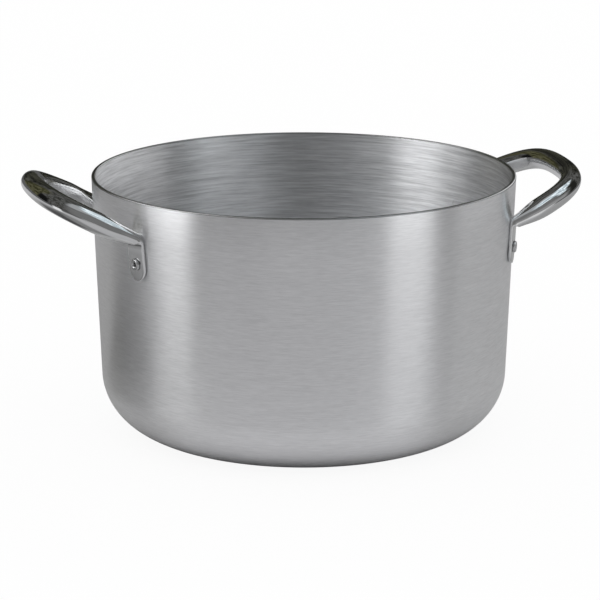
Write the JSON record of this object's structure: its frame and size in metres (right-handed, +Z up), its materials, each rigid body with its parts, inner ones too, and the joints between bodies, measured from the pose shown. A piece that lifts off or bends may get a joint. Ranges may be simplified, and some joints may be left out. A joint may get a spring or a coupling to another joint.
{
  "type": "stock pot",
  "caption": "Deep round aluminium cooking pot with a rounded base corner, a slightly flared wall and a riveted bent tube handle on each side.",
  "frame": {"origin": "centre of the base's underside, on the surface the pot stands on", "axes": "+Z up along the pot's axis, +X towards the right handle, +Y away from the viewer's side"},
  "size_m": [0.431, 0.326, 0.2073],
  "materials": {
    "satin_aluminium": "satin, fine brushing round the pot",
    "polished_steel": "mirror polished",
    "rivet_aluminium": "satin"
  },
  "bodies": {
    "root": {"pot_body": "satin_aluminium", "handle_left": "polished_steel", "handle_right": "polished_steel", "rivet_left_front": "rivet_aluminium", "rivet_left_back": "rivet_aluminium", "rivet_right_front": "rivet_aluminium", "rivet_right_back": "rivet_aluminium"}
  },
  "joints": []
}
